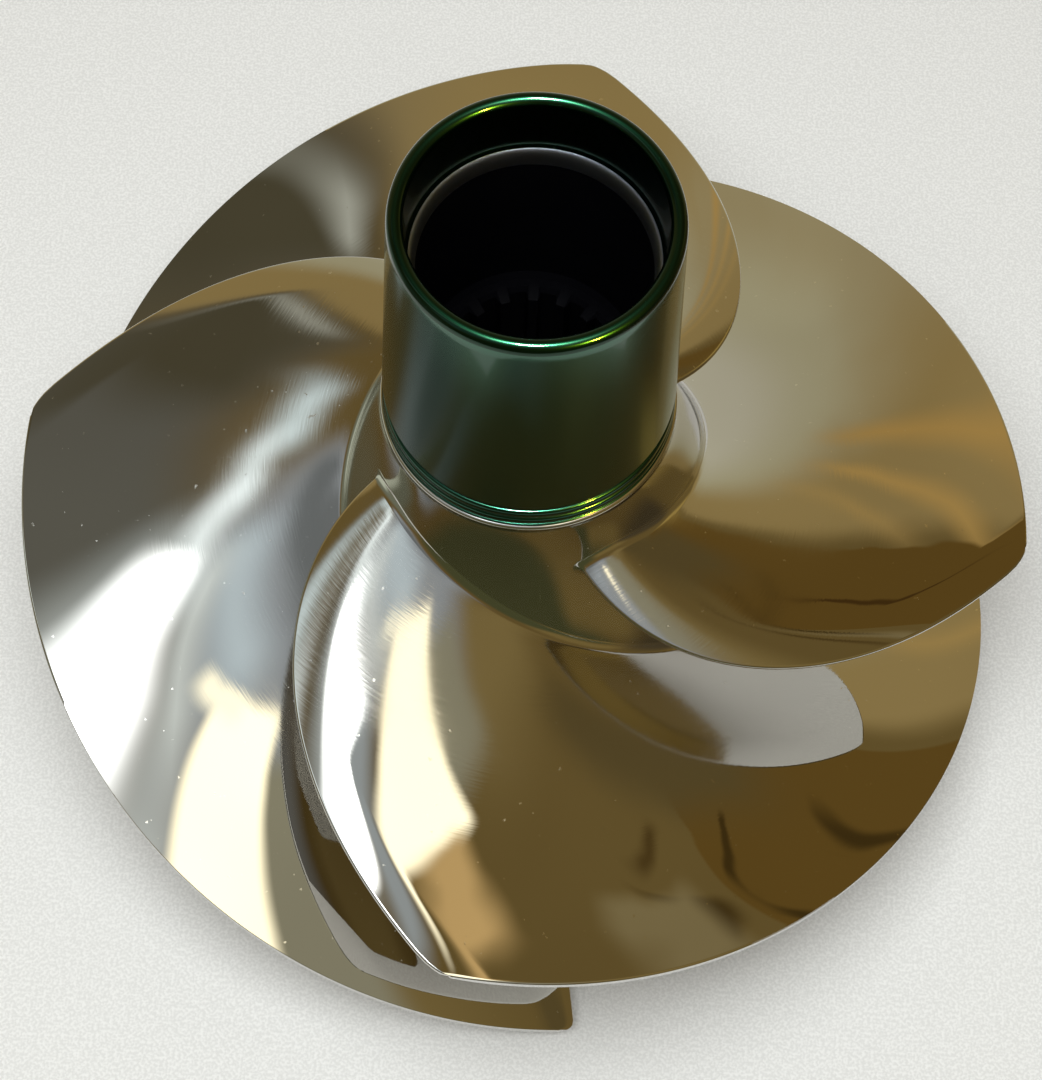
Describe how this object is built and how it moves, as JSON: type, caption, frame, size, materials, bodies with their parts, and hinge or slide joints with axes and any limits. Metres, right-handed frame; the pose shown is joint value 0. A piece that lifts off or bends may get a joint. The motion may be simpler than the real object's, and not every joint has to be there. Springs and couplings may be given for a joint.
{
  "type": "personal watercraft impeller",
  "caption": "Polished stainless jet-pump impeller: cupped, sweeping blades wound round a flared hub, with a green sleeve on the hub's neck.",
  "frame": {"origin": "on the shaft axis, in the plane of the hub's rear rim", "axes": "+Z along the shaft axis towards the intake, -Z towards the discharge nozzle; +X to the right in the picture's view"},
  "size_m": [0.155, 0.155, 0.1192],
  "materials": {
    "polished_steel": "mirror-polished stainless casting with faint satin polishing marks",
    "green_sleeve": "glossy dark green anodised"
  },
  "bodies": {
    "root": {"hub": "polished_steel", "blade_1": "polished_steel", "blade_2": "polished_steel", "blade_3": "polished_steel", "blade_4": "polished_steel", "hub_sleeve": "green_sleeve"}
  },
  "joints": []
}
